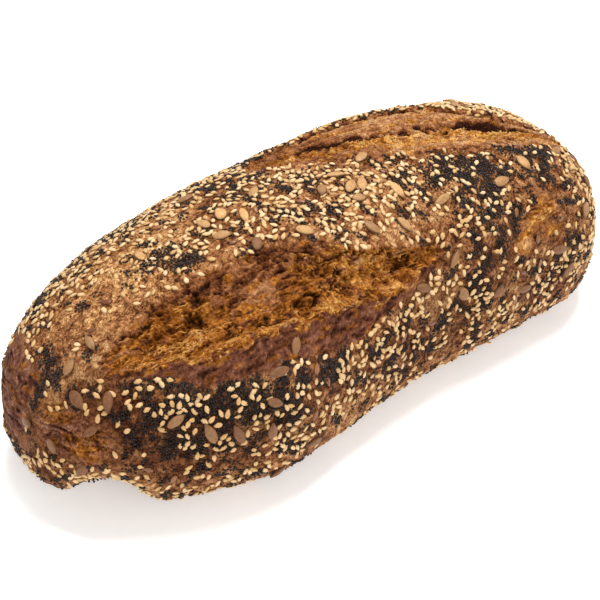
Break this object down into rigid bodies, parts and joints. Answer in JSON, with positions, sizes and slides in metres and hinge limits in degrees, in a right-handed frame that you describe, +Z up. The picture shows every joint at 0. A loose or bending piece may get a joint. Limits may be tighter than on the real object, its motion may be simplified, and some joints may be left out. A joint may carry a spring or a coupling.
{
  "type": "seeded oval loaf",
  "caption": "Long oval loaf of brown bread with a seeded crust and two slanting cuts along the top that burst open in baking. It rests on its flat base.",
  "frame": {"origin": "middle of the loaf's box, at the level of its flat base", "axes": "+X along the loaf towards its blunter end, -Y towards the side with the wide front cut, +Z up"},
  "size_m": [0.2797, 0.127, 0.0912],
  "materials": {
    "seeded_crust": null
  },
  "bodies": {
    "root": {"loaf": "seeded_crust"}
  },
  "joints": []
}
